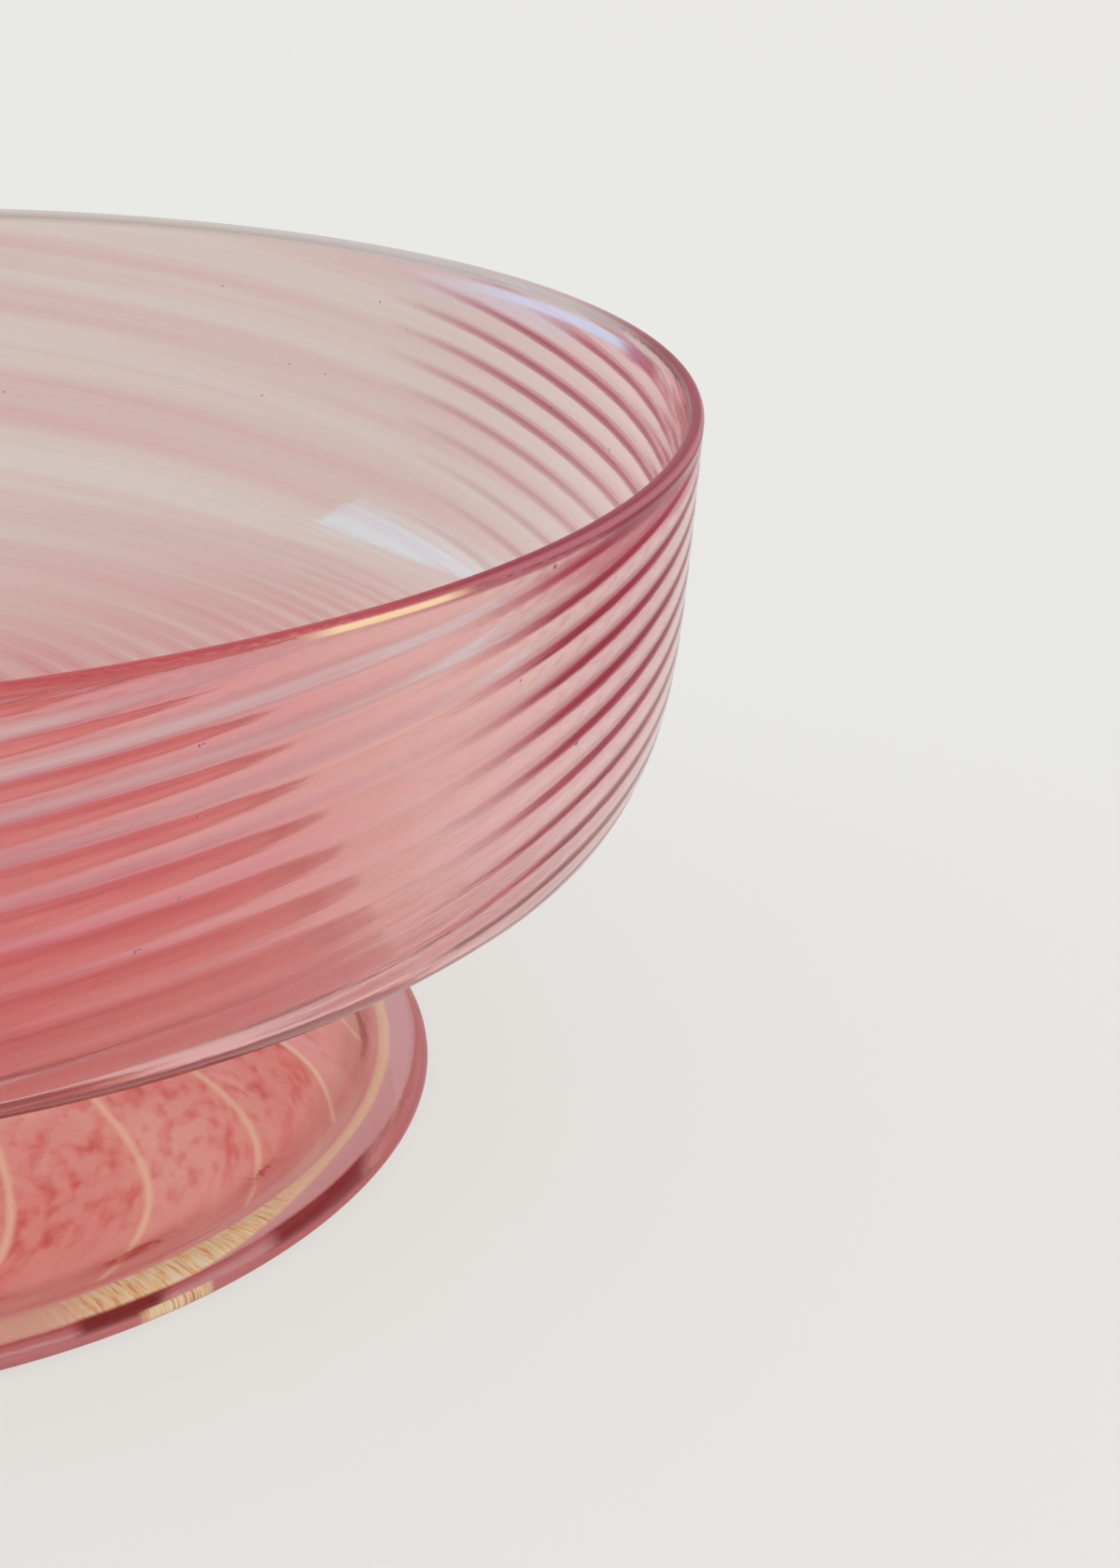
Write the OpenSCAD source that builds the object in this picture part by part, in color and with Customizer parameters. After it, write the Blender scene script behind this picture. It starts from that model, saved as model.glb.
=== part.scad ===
// Footed bowl of blown glass with swirled optic ribs.
// Millimetres, +Z up. The origin is on the table, on the axis of the bowl.

/* [Bowl] */
// Outer radius of the lip
rim_r = 126; // [90:1:160]
// Height of the bowl, from its seat on the button to the top of the lip
bowl_h = 69.5; // [55:0.5:100]
// Height of the knuckle, where the underside turns up into the wall, above the seat
knuckle_h = 19; // [12:0.5:26]
// How far the wall leans out between the knuckle and the lip
wall_flare = 3.5; // [0:0.5:10]
// How far the knuckle curves in below the wall
knuckle_inset = 5.4; // [2:0.2:9]
// Thickness of the wall
wall_t = 2.2; // [1.6:0.1:4]
// Thickness of the floor in the middle
floor_t = 4.5; // [3:0.1:7]
// Radius of the fire-polished lip
lip_r = 1.2; // [0.9:0.1:2]
// Radius of the flat seat under the bowl
bowl_seat_r = 22; // [18:0.5:30]

/* [Optic ribs] */
// Number of ribs that the optic mould pressed into the bowl, and into the foot
rib_count = 20; // [12:1:24]
// Height of a rib above the furrow beside it, outside the bowl
rib_relief = 0.4; // [0.1:0.1:1]
// Height of a rib above the furrow beside it, inside the wall
inner_rib_relief = 0.6; // [0.1:0.1:1]
// Angle of the first rib at the knuckle
rib_start = 2.2; // [0:0.1:30]
// Turn of a rib from the seat to the knuckle
floor_turn = 162; // [60:1:200]
// Turn of a rib from the knuckle to the height of the lip
wall_turn = 182; // [60:1:220]
// Further turn just below the lip, where the ribs lie flatter
lip_turn = 10; // [0:1:20]

/* [Button] */
// Height of the button that joins bowl and foot
button_h = 10; // [6:0.5:16]
// Radius of the flat faces on the button
button_seat_r = 18; // [12:0.5:18]

/* [Foot] */
// Outer radius of the foot
foot_r = 89.4; // [70:0.2:110]
// Height of the foot, from the table to its seat under the button
foot_h = 20.9; // [16:0.1:30]
// Radius of the flat seat on top of the foot
foot_seat_r = 21; // [18:0.5:28]
// Thickness of the foot between its seat and its hem
web_t = 3; // [2.2:0.1:4]
// Thickness of the glass under the seat
foot_core_t = 7; // [5:0.5:9]
// Width of the folded hem
hem_w = 10.8; // [8:0.2:14]
// Thickness of the folded hem
hem_t = 4.1; // [3.6:0.1:6]
// Depth that is ground off the hem, so that the foot stands flat
grind = 0.3; // [0.2:0.05:0.6]
// Height of a rib on the foot above the furrow beside it
foot_rib_relief = 0.6; // [0.2:0.1:1]
// Angle of the first rib at the seat of the foot
foot_rib_start = 16.6; // [0:0.1:30]
// Turn of a rib from the seat to the hem
foot_turn = 17; // [5:1:40]
// Further turn just inside the hem
hem_turn = 9; // [0:1:20]
// Radius of the ground pontil mark under the foot
pontil_r = 11; // [6:0.5:14]
// Depth of the ground pontil mark
pontil_depth = 0.8; // [0.4:0.1:1.5]

/* [Hidden] */
glass_colour = [0.86, 0.45, 0.47, 0.75];

// How finely the ribbed glass is drawn
facets_per_rib = 4;
columns = rib_count * facets_per_rib;
under_steps = 16;
wall_steps = 28;
lip_steps = 4;
inner_wall_steps = 22;
inner_floor_steps = 6;
under_foot_steps = 6;
web_steps = 10;
hem_steps = 10;
round_fn = 96;

// Shapes of the curves, as exponents and shares
rib_sharpness = 1.4;
under_curve = 3;
under_turn_curve = 3.3;
knuckle_curve = 6;
lip_turn_curve = 5;
lip_blend_curve = 5;
web_curve = 1.1;
hem_turn_curve = 8;
core_curve = 2;
fade_share = 0.15;
rib_mid_share = 0.5;
inner_knuckle_share = 0.7;
hem_join_angle = 150;

// Heights of the seats above the table
button_z = foot_h;
bowl_z = foot_h + button_h;

// Places on the profile of the bowl
wall_top_r = rim_r - rib_mid_share * rib_relief;
knuckle_r = wall_top_r - wall_flare - knuckle_inset;
inner_knuckle_h = knuckle_h + inner_knuckle_share * wall_t;
lip_z = bowl_h - lip_r;
wall_top_z = lip_z - lip_r;
inner_top_r = rim_r - 2 * lip_r;
thickness_at_lip = wall_top_r - inner_top_r;

// Places on the profile of the foot
hem_mid_r = foot_r - hem_w / 2;
hem_mid_z = hem_t / 2 - grind;
hem_join_r = hem_mid_r + hem_w / 2 * cos(hem_join_angle);
hem_join_z = hem_mid_z + hem_t / 2 * sin(hem_join_angle);
hem_under_z = hem_mid_z - hem_t / 2 * sin(hem_join_angle);
cut_overrun = grind + hem_t;

// Height of a rib across its width, from 0 in the furrow to 1 on the crest
function rib_share(column) =
    pow((1 + cos(360 * column / facets_per_rib)) / 2, rib_sharpness);

// Fades the ribs in over the first share of a run that goes from 0 to 1
function fade_in(t) = min(1, t / fade_share);

// A level is [radius, height, relief, turn], and a profile is a list of levels
// that runs from the lower end of the axis outwards, up, and back to the axis.
// The glass lies to the left of the profile, so its normal points to the right.
function normal_at(profile, i) =
    let (
        before = profile[max(i - 1, 0)],
        after = profile[min(i + 1, len(profile) - 1)],
        dr = after[0] - before[0],
        dz = after[1] - before[1]
    )
    [dz, -dr] / norm([dz, -dr]);

function ring_at(profile, i) =
    let (level = profile[i], n = normal_at(profile, i))
    [for (c = [0 : columns - 1])
        let (
            angle = level[3] + 360 * c / columns,
            lift = level[2] * rib_share(c),
            r = level[0] + lift * n[0]
        )
        [r * cos(angle), r * sin(angle), level[1] + lift * n[1]]];

// Turns a profile into closed glass. Its first and last levels lie on the axis.
// Each quad is split along the diagonal that the turn makes the shorter one.
module swirled_glass(profile) {
    rings = len(profile) - 2;
    last = rings * columns + 1;
    points = concat(
        [[0, 0, profile[0][1]]],
        [for (i = [1 : rings]) each ring_at(profile, i)],
        [[0, 0, profile[rings + 1][1]]]
    );
    faces = concat(
        [for (c = [0 : columns - 1]) [0, 1 + c, 1 + (c + 1) % columns]],
        [for (i = [0 : rings - 2]) for (c = [0 : columns - 1])
            let (
                a = 1 + i * columns + c,
                b = 1 + i * columns + (c + 1) % columns,
                d = a + columns,
                e = b + columns,
                turns_on = profile[i + 2][3] >= profile[i + 1][3]
            )
            each turns_on ? [[a, d, b], [b, d, e]] : [[a, d, e], [a, e, b]]],
        [for (c = [0 : columns - 1])
            [last, last - columns + (c + 1) % columns, last - columns + c]]
    );
    polyhedron(points = points, faces = faces, convexity = 6);
}

// Radius of the wall at the share u of its height, for a given radius at the lip
function wall_r(top_r, u) =
    top_r - wall_flare * (1 - u) - knuckle_inset * pow(1 - u, knuckle_curve);

function under_turn(t) = rib_start + floor_turn * (pow(t, under_turn_curve) - 1);

// Turn of the ribs at the height z on the wall
function wall_turn_at(z) =
    let (climb = (z - knuckle_h) / (bowl_h - knuckle_h))
    rib_start + wall_turn * climb + lip_turn * pow(climb, lip_turn_curve);

end_turn = wall_turn_at(wall_top_z);
floor_end_turn = wall_turn_at(inner_knuckle_h);

underside = [for (i = [0 : under_steps])
    let (t = pow(i / under_steps, 1 / under_turn_curve))
    [bowl_seat_r + (knuckle_r - bowl_seat_r) * t,
     knuckle_h * pow(t, under_curve),
     rib_relief * fade_in(t),
     under_turn(t)]];

outer_wall = [for (i = [1 : wall_steps])
    let (u = i / wall_steps, z = knuckle_h + (wall_top_z - knuckle_h) * u)
    [wall_r(wall_top_r, u), z, rib_relief * fade_in(1 - u), wall_turn_at(z)]];

lip = [for (i = [0 : lip_steps])
    let (angle = 180 * i / lip_steps)
    [rim_r - lip_r + lip_r * cos(angle), lip_z + lip_r * sin(angle), 0, end_turn]];

inner_wall = [for (i = [inner_wall_steps - 1 : -1 : 0])
    let (
        u = i / inner_wall_steps,
        z = inner_knuckle_h + (lip_z - inner_knuckle_h) * u,
        thickness = wall_t + (thickness_at_lip - wall_t) * pow(u, lip_blend_curve),
        relief = inner_rib_relief * min(fade_in(u), fade_in(1 - u))
    )
    [wall_r(wall_top_r, u) - thickness + rib_mid_share * relief, z, relief, wall_turn_at(z)]];

inner_floor = [for (i = [inner_floor_steps - 1 : -1 : 1])
    let (t = i / inner_floor_steps)
    [(knuckle_r - wall_t) * t,
     floor_t + (inner_knuckle_h - floor_t) * pow(t, under_curve),
     0,
     floor_end_turn]];

bowl_profile = concat(
    [[0, 0, 0, 0]],
    underside, outer_wall, lip, inner_wall, inner_floor,
    [[0, floor_t, 0, 0]]
);

// Blown bowl with ribs on both sides of its wall and a fire-polished lip
module bowl() {
    color(glass_colour) translate([0, 0, bowl_z]) swirled_glass(bowl_profile);
}

// Gather of hot glass that joins the bowl to the foot, with flat faces and a round edge
module button() {
    color(glass_colour) translate([0, 0, button_z])
        rotate_extrude($fn = round_fn) {
            square([button_seat_r, button_h]);
            intersection() {
                translate([button_seat_r, button_h / 2]) circle(r = button_h / 2, $fn = round_fn);
                translate([button_seat_r, 0]) square(button_h);
            }
        }
}

function foot_turn_at(t) = foot_rib_start - foot_turn * t - hem_turn * pow(t, hem_turn_curve);

function web_z(t) = hem_join_z + (foot_h - hem_join_z) * pow(1 - t, web_curve);

function under_web_z(t) =
    max(hem_under_z, web_z(t) - web_t - (foot_core_t - web_t) * pow(1 - t, core_curve));

foot_end_turn = foot_turn_at(1);

under_foot = [for (i = [0 : under_foot_steps - 1])
    let (t = i / under_foot_steps)
    [pontil_r + (hem_join_r - pontil_r) * t, under_web_z(t), 0, foot_end_turn]];

hem = [for (i = [0 : hem_steps])
    let (angle = hem_join_angle * (2 * i / hem_steps - 1))
    [hem_mid_r + hem_w / 2 * cos(angle), hem_mid_z + hem_t / 2 * sin(angle), 0, foot_end_turn]];

web = [for (i = [web_steps - 1 : -1 : 0])
    let (t = i / web_steps)
    [foot_seat_r + (hem_join_r - foot_seat_r) * t,
     web_z(t),
     foot_rib_relief * min(fade_in(t), fade_in(1 - t)),
     foot_turn_at(t)]];

pontil_z = foot_h - foot_core_t;

foot_profile = concat(
    [[0, pontil_z + pontil_depth, 0, 0], [pontil_r, pontil_z + pontil_depth, 0, foot_end_turn]],
    under_foot, hem, web,
    [[0, foot_h, 0, 0]]
);

// Blown foot, hollow underneath, with ribs on top and a folded hem that is ground flat
module foot() {
    color(glass_colour) difference() {
        swirled_glass(foot_profile);
        translate([0, 0, -cut_overrun]) cylinder(h = cut_overrun, r = foot_r + hem_t, $fn = round_fn);
    }
}

foot();
button();
bowl();
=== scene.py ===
# Footed bowl of blown pink glass with swirled optic ribs, on a plain pale floor.
import math
import bpy
import numpy as np
from mathutils import Matrix, Vector


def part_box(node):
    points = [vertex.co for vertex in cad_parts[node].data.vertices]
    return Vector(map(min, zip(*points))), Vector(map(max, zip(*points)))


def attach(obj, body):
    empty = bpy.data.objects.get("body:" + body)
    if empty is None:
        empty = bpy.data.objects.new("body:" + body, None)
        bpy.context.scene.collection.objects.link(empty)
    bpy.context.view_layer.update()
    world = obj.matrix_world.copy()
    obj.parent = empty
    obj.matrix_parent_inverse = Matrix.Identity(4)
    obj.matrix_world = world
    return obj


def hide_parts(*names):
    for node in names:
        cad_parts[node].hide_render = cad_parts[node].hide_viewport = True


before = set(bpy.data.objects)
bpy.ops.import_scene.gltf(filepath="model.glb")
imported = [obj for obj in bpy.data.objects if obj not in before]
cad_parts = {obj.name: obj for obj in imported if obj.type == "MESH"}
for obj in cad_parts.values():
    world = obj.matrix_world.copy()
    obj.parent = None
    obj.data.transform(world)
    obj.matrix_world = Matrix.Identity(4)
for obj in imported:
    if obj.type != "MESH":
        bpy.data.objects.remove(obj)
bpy.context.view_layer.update()        # the bowl, the button and the foot, as solids
print("frame loaded:", sorted(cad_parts))

bowlLow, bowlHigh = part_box("bowl")
buttonLow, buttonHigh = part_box("button")
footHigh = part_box("foot")[1]
mm = 0.001


# Camera

view = {
    "place": (0.0, -389.6 * mm, 195.5 * mm),
    "yaw": 16.044,        # degrees to the right of +Y
    "pitch": 21.768,      # degrees down
    "roll": -0.859,       # degrees
    "focal": 3132.3,      # in pixels of the photograph
    "frameHeight": 1680,  # pixels
    "sensor": 36.0,       # millimetres on the longer side
}


def addCamera(view):
    yaw, pitch, roll = (math.radians(view[k]) for k in ("yaw", "pitch", "roll"))
    ahead = Vector((math.sin(yaw), math.cos(yaw), 0.0))
    right = Vector((math.cos(yaw), -math.sin(yaw), 0.0))
    forward = ahead * math.cos(pitch) - Vector((0, 0, 1)) * math.sin(pitch)
    up = ahead * math.sin(pitch) + Vector((0, 0, 1)) * math.cos(pitch)
    sideways = right * math.cos(roll) - up * math.sin(roll)
    upward = right * math.sin(roll) + up * math.cos(roll)
    data = bpy.data.cameras.new("camera")
    data.sensor_width = view["sensor"]
    data.lens = view["focal"] * view["sensor"] / view["frameHeight"]
    camera = bpy.data.objects.new("camera", data)
    turned = Matrix((sideways, upward, -forward)).transposed()
    camera.matrix_world = Matrix.Translation(view["place"]) @ turned.to_4x4()
    bpy.context.scene.collection.objects.link(camera)
    bpy.context.scene.camera = camera


addCamera(view)
print("camera set")


# Shader maths: a Signal is one value in a node tree

class Signal:
    def __init__(self, tree, socket=None):
        self.tree = tree
        self.socket = socket

    def node(self, kind, settings=None, inputs=None, output=0):
        made = self.tree.nodes.new(kind)
        for name, value in (settings or {}).items():
            if name == "stops":
                self.fillRamp(made.color_ramp, value)
            else:
                setattr(made, name, value)
        for name, value in (inputs or {}).items():
            socket = made.inputs[name]
            if isinstance(value, Signal):
                self.tree.links.new(value.socket, socket)
            else:
                socket.default_value = value
        return Signal(self.tree, made.outputs[output] if made.outputs else None)

    def fillRamp(self, ramp, stops):
        while len(ramp.elements) < len(stops):
            ramp.elements.new(1.0)
        for element, (place, colour) in zip(ramp.elements, stops):
            element.position = place
            element.color = colour

    def maths(self, operation, *values):
        return self.node("ShaderNodeMath", {"operation": operation}, dict(enumerate(values)))

    def __add__(self, other):
        return self.maths("ADD", self, other)

    def __sub__(self, other):
        return self.maths("SUBTRACT", self, other)

    def __mul__(self, other):
        return self.maths("MULTIPLY", self, other)

    def __rsub__(self, other):
        return self.maths("SUBTRACT", other, self)

    def __pow__(self, other):
        return self.maths("POWER", self, other)

    __radd__ = __add__
    __rmul__ = __mul__

    def smooth(self, low, high):
        settings = {"interpolation_type": "SMOOTHSTEP"}
        return self.node("ShaderNodeMapRange", settings, {"Value": self, "From Min": low, "From Max": high})

    def within(self, edges):
        # (from, to) is an edge that rises, or falls where from is the greater; (low, high, soft) is a band with
        # two soft edges, and so are four numbers: where it starts and ends to rise, and then to fall
        if len(edges) == 3:
            low, high, soft = edges
            edges = (low - soft, low, high, high + soft)
        if len(edges) == 4:
            return self.smooth(*edges[:2]) * (1 - self.smooth(*edges[2:]))
        start, end = edges
        return self.smooth(start, end) if start < end else 1 - self.smooth(end, start)

    def colours(self, stops):
        return self.node("ShaderNodeValToRGB", {"stops": stops}, {"Fac": self})

    def noise(self, place, scale, detail, roughness=0.5, distortion=0.0):
        values = {"Vector": place, "Scale": scale, "Detail": detail,
                  "Roughness": roughness, "Distortion": distortion}
        return self.node("ShaderNodeTexNoise", {}, values)

    def mix(self, amount, first, second, blend="MIX"):
        settings = {"data_type": "RGBA", "blend_type": blend}
        return self.node("ShaderNodeMix", settings, {0: amount, 6: first, 7: second}, output=2)

    def stretch(self, scale):
        return self.node("ShaderNodeVectorMath", {"operation": "MULTIPLY"}, {0: self, 1: scale})

    def length(self):
        return self.node("ShaderNodeVectorMath", {"operation": "LENGTH"}, {0: self}, "Value")

    def axis(self, number):
        return self.node("ShaderNodeSeparateXYZ", {}, {"Vector": self}, output=number)

    def attribute(self, name, output):
        return self.node("ShaderNodeAttribute", {"attribute_name": name}, {}, output)

    def ownPlace(self):
        return self.node("ShaderNodeTexCoord", {}, {}, "Object")

    def bump(self, height, strength):
        # the height is in millimetres
        return self.node("ShaderNodeBump", {}, {"Strength": strength, "Distance": mm, "Height": height})


def newMaterial(name):
    made = bpy.data.materials.new(name)
    made.use_nodes = True
    made.node_tree.nodes.clear()
    return made, Signal(made.node_tree)


def rgb(red, green, blue):
    # a display colour from 0 to 255, made linear
    share = np.array([red, green, blue]) / 255
    linear = np.where(share <= 0.04045, share / 12.92, ((share + 0.055) / 1.055) ** 2.4)
    return (*(float(v) for v in linear), 1.0)


# Floor and world

studio = {
    "paper": rgb(233, 232, 228),
    "worldLight": 1.0,
    "floorReach": 3.0,       # metres each way
    "shadowShare": 0.2,      # how much of the real shading the camera sees on the floor
}


def seenDirectly(s):
    # 1 for rays from the camera, a reflection or a view through glass
    total = s.node("ShaderNodeLightPath", {}, {}, "Is Camera Ray")
    rays = total.socket.node.outputs
    for name in ("Is Glossy Ray", "Is Transmission Ray"):
        total = s.maths("MAXIMUM", total, Signal(s.tree, rays[name]))
    return total


def addWorld(studio):
    world = bpy.data.worlds.new("studio")
    bpy.context.scene.world = world
    world.use_nodes = True
    world.node_tree.nodes.clear()
    s = Signal(world.node_tree)
    paper = s.node("ShaderNodeBackground", {}, {"Color": studio["paper"], "Strength": 1.0})
    light = s.node("ShaderNodeBackground", {}, {"Color": (1, 1, 1, 1), "Strength": studio["worldLight"]})
    shown = s.node("ShaderNodeMixShader", {}, {0: seenDirectly(s), 1: light, 2: paper})
    s.node("ShaderNodeOutputWorld", {}, {"Surface": shown})


def addFloor(studio):
    reach = studio["floorReach"]
    corners = [(-reach, -reach, 0), (reach, -reach, 0), (reach, reach, 0), (-reach, reach, 0)]
    mesh = bpy.data.meshes.new("floor")
    mesh.from_pydata(corners, [], [(0, 1, 2, 3)])
    floor = bpy.data.objects.new("floor", mesh)
    bpy.context.scene.collection.objects.link(floor)
    material, s = newMaterial("floorPaper")
    lit = s.node("ShaderNodeBsdfDiffuse", {}, {"Color": studio["paper"]})
    flat = s.node("ShaderNodeEmission", {}, {"Color": studio["paper"], "Strength": 1.0})
    amount = seenDirectly(s) * (1 - studio["shadowShare"])
    shown = s.node("ShaderNodeMixShader", {}, {0: amount, 1: lit, 2: flat})
    s.node("ShaderNodeOutputMaterial", {}, {"Surface": shown})
    mesh.materials.append(material)


addWorld(studio)
addFloor(studio)
print("floor and world made")


# Lamps

lamps = {
    # a window behind on the left, which lights the patch on the inner wall
    "window": {"place": (-0.95, 0.5, 0.5), "aim": (0.1, 0.05, 0.06), "size": (0.75, 0.34), "power": 3.0,
               "colour": (0.08, 0.72, 1.0)},
}


def addLamp(name, lamp):
    data = bpy.data.lights.new(name, "AREA")
    data.shape = "RECTANGLE"
    data.size, data.size_y = lamp["size"]
    data.energy = lamp["power"]
    data.color = lamp["colour"]
    made = bpy.data.objects.new(name, data)
    toward = Vector(lamp["aim"]) - Vector(lamp["place"])
    made.location = lamp["place"]
    made.rotation_euler = toward.to_track_quat("-Z", "Y").to_euler()
    bpy.context.scene.collection.objects.link(made)


for name, lamp in lamps.items():
    addLamp(name, lamp)
print("lamps set")


# Surfaces on a grid of rings and columns

def smoothStep(low, high, value):
    t = np.clip((value - low) / (high - low), 0, 1)
    return t * t * (3 - 2 * t)


def soften(line, width):
    # each value becomes the mean of its neighbours within width places, and both ends stay
    kernel = np.hanning(2 * width + 3)[1:-1]
    kernel /= kernel.sum()
    padded = np.pad(line, width, mode="reflect", reflect_type="odd")
    return np.convolve(padded, kernel, mode="valid")


def distanceAlong(first, second):
    # how far along the line through these points each of them lies
    return np.concatenate([[0], np.cumsum(np.hypot(np.diff(first), np.diff(second)))])


def evenSteps(count, *lines):
    # the lines of values again, at places the same distance apart along the first two
    along = distanceAlong(*lines[:2])
    places = np.linspace(0, along[-1], count)
    return [np.interp(places, along, line) for line in lines]


def outwardNormals(r, z):
    # the glass lies to the left of the profile, so its normal points to the right
    dr, dz = np.gradient(r), np.gradient(z)
    length = np.hypot(dr, dz) + 1e-12
    return dz / length, -dr / length


def columnAngles(look):
    # degrees around, one for each column
    return np.arange(look["columns"]) * 360 / look["columns"]


def ribWave(angle, ribCount, sharpness):
    # a cosine from 0 in the furrow to 1 on the crest, raised to a power
    return ((1 + np.cos(np.radians(angle * ribCount))) / 2) ** sharpness


def placeRings(r, z, angle):
    # a point for each ring and column, from its radius, height and angle in degrees
    r, z, turn = np.broadcast_arrays(r, z, np.radians(angle))
    return np.stack([r * np.cos(turn), r * np.sin(turn), z], axis=-1)


def closedMesh(name, points, extra=None):
    # points is rings by columns by 3; the first and last ring close to their own centres; extra is more closed
    # forms, as vertices and as faces of four, where a triangle names its last vertex twice
    rings, columns, _ = points.shape
    centres = [points[0].mean(axis=0), points[-1].mean(axis=0)]
    vertices = np.concatenate([points.reshape(-1, 3), centres])
    ring, column = np.meshgrid(np.arange(rings - 1), np.arange(columns), indexing="ij")
    here = ring * columns + column
    beside = ring * columns + (column + 1) % columns
    quads = np.stack([here, beside, beside + columns, here + columns], axis=-1).reshape(-1, 4)
    edge = np.arange(columns)
    after = (edge + 1) % columns
    start = rings * columns
    lastRing = (rings - 1) * columns
    startFan = np.stack([np.full(columns, start), after, edge], axis=-1)
    endFan = np.stack([np.full(columns, start + 1), lastRing + edge, lastRing + after], axis=-1)
    faces = quads.tolist() + startFan.tolist() + endFan.tolist()
    if extra is not None:
        base = len(vertices)
        vertices = np.concatenate([vertices, extra[0]])
        faces += [face[:3] if face[2] == face[3] else face for face in (extra[1] + base).tolist()]
    mesh = bpy.data.meshes.new(name)
    mesh.from_pydata(vertices, [], faces)
    mesh.shade_smooth()
    piece = bpy.data.objects.new(name, mesh)
    bpy.context.scene.collection.objects.link(piece)
    return piece


def nameValues(piece, grids):
    # each grid holds a number or a vector for every ring and column; the points after them get zero
    for name, grid in grids.items():
        kind, field, width = ("FLOAT_VECTOR", "vector", 3) if grid.ndim == 3 else ("FLOAT", "value", 1)
        filled = np.zeros((len(piece.data.vertices), width), np.float32)
        flat = grid.reshape(-1, width)
        filled[:len(flat)] = flat
        made = piece.data.attributes.new(name, kind, "POINT")
        made.data.foreach_set(field, filled.ravel())


# Bowl

bowlLook = {
    "columns": 300,
    "ribCount": 20,
    "ribStart": 2.2,             # degrees at the knuckle
    "floorTurn": 162,            # degrees from the seat to the knuckle
    "floorTurnPower": 3.3,
    "wallTurn": 182,             # degrees from the knuckle to the lip
    "lipTurn": 10,               # degrees more, just below the lip
    "lipTurnPower": 5,
    "seatRadius": 22 * mm,
    "sideGap": 0.2 * mm,         # from the plain wall to the side of the solid's box, for the ribs
    "knuckleHeight": 19 * mm,
    "underPower": 3,
    "wallFlare": 3.5 * mm,
    "knuckleInset": 5.4 * mm,
    "insetPower": 6,
    "wall": 2.2 * mm,
    "floor": 4.5 * mm,
    "thinning": (0.1, 0.75),     # shares of the way from the seat to the lip
    "lipRadius": 1.1 * mm,
    "bead": 0.25 * mm,           # how far the wall thickens just below the lip
    "beadBelow": 3.5 * mm,
    "beadWidth": 1.6 * mm,
    "ribOutside": 0.22 * mm,
    "outsideRise": (0.05, 0.35),   # where the ribs grow, in shares of the way
    "outsideEnd": 6 * mm,        # and how far below the lip they fade
    "ribInside": 0.5 * mm,
    "insideRise": (0.45, 0.7),
    "insideEnd": 5 * mm,
    "ribFullness": 0.65,         # below 1 the crests are wide and the furrows narrow
    # how strong the ribs are, and how many degrees they run ahead, at degrees around from +X
    "unevenAt": (-180, -130, -95, -72, -64, -52, -44, -22, 0, 10, 18, 26, 34, 60, 110, 180),
    "strengthShares": (0.6, 1.0, 1.2, 1.0, 0.6, 0.4, 0.6, 0.35, 0.25, 0.25, 0.2, 0.15, 0.12, 0.12, 0.25, 0.6),
    "drift": (0, -4, -6, -4, -2.5, -0.5, 0, 0.5, 1, 2, 1, -1, -1, 0, 0, 0),
    # how much of the strength is left at the knuckle, and how many degrees more the ribs run ahead there
    "lowShares": (1, 0.6, 0.3, 0.25, 0.25, 0.4, 1, 1, 1, 1, 1, 1, 1, 1, 1, 1),
    "lowDrift": (0, 0, 0, 0, 0, -2, -7, -7, 0, 0, 0, 0, 0, 0, 0, 0),
    "lowPower": 1.5,
    "wallShare": 0.4,            # the wall's share of the way
    "onWall": (0.48, 0.62),      # where the uneven strength takes over
    "strengthBelow": 0.5,        # the same on the underside all round
    "paintRadius": 120 * mm,     # where a rib lies unswirled, for colour that follows the ribs
    "samples": 400,              # along each half of the profile
    "evenSamples": 1200,
    "softening": 30,
    "turnWeight": 400,           # degrees of turn that ask for as many rings as the whole way does
    "stepsUnder": 90,
    "stepsWall": 100,
    "stepsLip": 12,
    "stepsInside": 110,
}


def bowlProfile(look):
    # The underside rises with the cube of its share of the way out. The wall leans out evenly and curves in
    # towards the knuckle with the sixth power of its share of the way down. A rib turns with the 3.3rd power on
    # the underside and evenly on the wall, with a little more below the lip.
    seat, knuckle = look["seatRadius"], look["knuckleHeight"]
    rim = bowlHigh.x - look["sideGap"]
    fullHeight = bowlHigh.z - bowlLow.z
    height = fullHeight - look["lipRadius"]
    knuckleRadius = rim - look["wallFlare"] - look["knuckleInset"]
    t = np.linspace(0, 1, look["samples"])
    under = (seat + (knuckleRadius - seat) * t,
             knuckle * t ** look["underPower"],
             look["ribStart"] + look["floorTurn"] * (t ** look["floorTurnPower"] - 1))
    u = t[1:]
    climb = u * (height - knuckle) / (fullHeight - knuckle)
    wall = (rim - look["wallFlare"] * (1 - u) - look["knuckleInset"] * (1 - u) ** look["insetPower"],
            knuckle + (height - knuckle) * u,
            look["ribStart"] + look["wallTurn"] * climb + look["lipTurn"] * climb ** look["lipTurnPower"])
    joined = [np.concatenate([a, b]) for a, b in zip(under, wall)]
    return [soften(line, look["softening"]) for line in evenSteps(look["evenSamples"], *joined)]


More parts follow.
